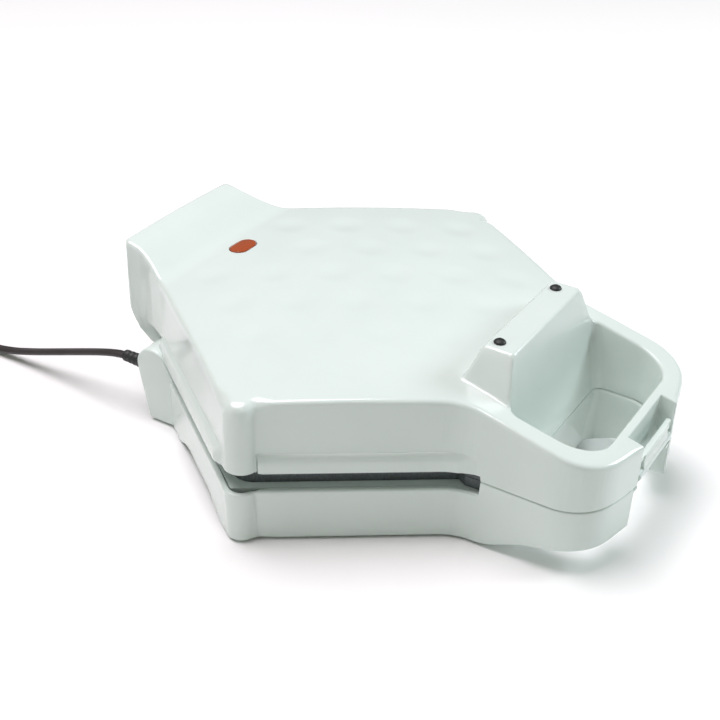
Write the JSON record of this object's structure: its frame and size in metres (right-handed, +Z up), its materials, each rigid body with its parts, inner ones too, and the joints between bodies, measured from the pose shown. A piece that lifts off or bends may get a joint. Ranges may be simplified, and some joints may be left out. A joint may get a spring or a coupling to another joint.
{
  "type": "mini ring-cake maker",
  "caption": "Closed mini donut maker: hinged white lid and base with ring-shaped non-stick cavities, loop handle with flip clip, indicator light and flat mains cord.",
  "frame": {"origin": "on the table, in the middle of the closed appliance's footprint without its cord", "axes": "+Z up, +Y to the rear (hinge), -Y to the handle, +X to the right of someone who looks along +Y"},
  "size_m": [0.3079, 0.5163, 0.1046],
  "materials": {
    "white_plastic": "glossy moulded, faint mint cast",
    "nonstick_aluminium": "cast, dark grey non-stick coating, satin",
    "heater_steel": "dull, heat stained",
    "reflector_steel": "bright rolled sheet",
    "zinc_steel": "zinc plated",
    "amber_lens": "clear tinted, glossy",
    "lamp_glass": "clear",
    "wire_sleeve": "glass fibre sleeve",
    "black_rubber": "matte",
    "black_plastic": "matte",
    "terminal_plastic": "matte",
    "cord_vinyl": "satin flexible vinyl",
    "plug_brass": "nickel plated brass"
  },
  "bodies": {
    "base": {"base_housing": "white_plastic", "base_frame": "white_plastic", "base_frame_screws": "zinc_steel", "lower_cooking_plate": "nonstick_aluminium", "lower_heating_element": "heater_steel", "lower_reflector": "reflector_steel", "lower_plate_screws": "zinc_steel", "hinge_pin_left": "zinc_steel", "hinge_pin_right": "zinc_steel", "terminal_block": "terminal_plastic", "base_wiring": "wire_sleeve", "cord_clamp": "black_plastic", "rubber_feet": "black_rubber", "strain_relief": "black_rubber", "mains_cord": "cord_vinyl", "cord_coil": "cord_vinyl", "cord_tie": "cord_vinyl", "plug_body": "black_plastic", "plug_pins": "plug_brass"},
    "lid": {"lid_housing": "white_plastic", "lid_frame": "white_plastic", "lid_frame_screws": "zinc_steel", "upper_cooking_plate": "nonstick_aluminium", "upper_heating_element": "heater_steel", "upper_reflector": "reflector_steel", "upper_plate_screws": "zinc_steel", "thermostat": "reflector_steel", "thermal_fuse": "reflector_steel", "indicator_lens": "amber_lens", "neon_lamp": "lamp_glass", "lid_wiring": "wire_sleeve", "bridge_plugs": "black_rubber", "latch_pin": "zinc_steel"},
    "latch": {"latch_clip": "white_plastic"}
  },
  "joints": [
    {"name": "lid_hinge", "type": "hinge", "parent": "base", "child": "lid", "pos_m": [0, 0.119, 0.036], "axis": [-1, 0, 0], "range_deg": [0, 85]},
    {"name": "latch_hinge", "type": "hinge", "parent": "lid", "child": "latch", "pos_m": [0, -0.148, 0.0434], "axis": [1, 0, 0], "range_deg": [0, 166]}
  ]
}
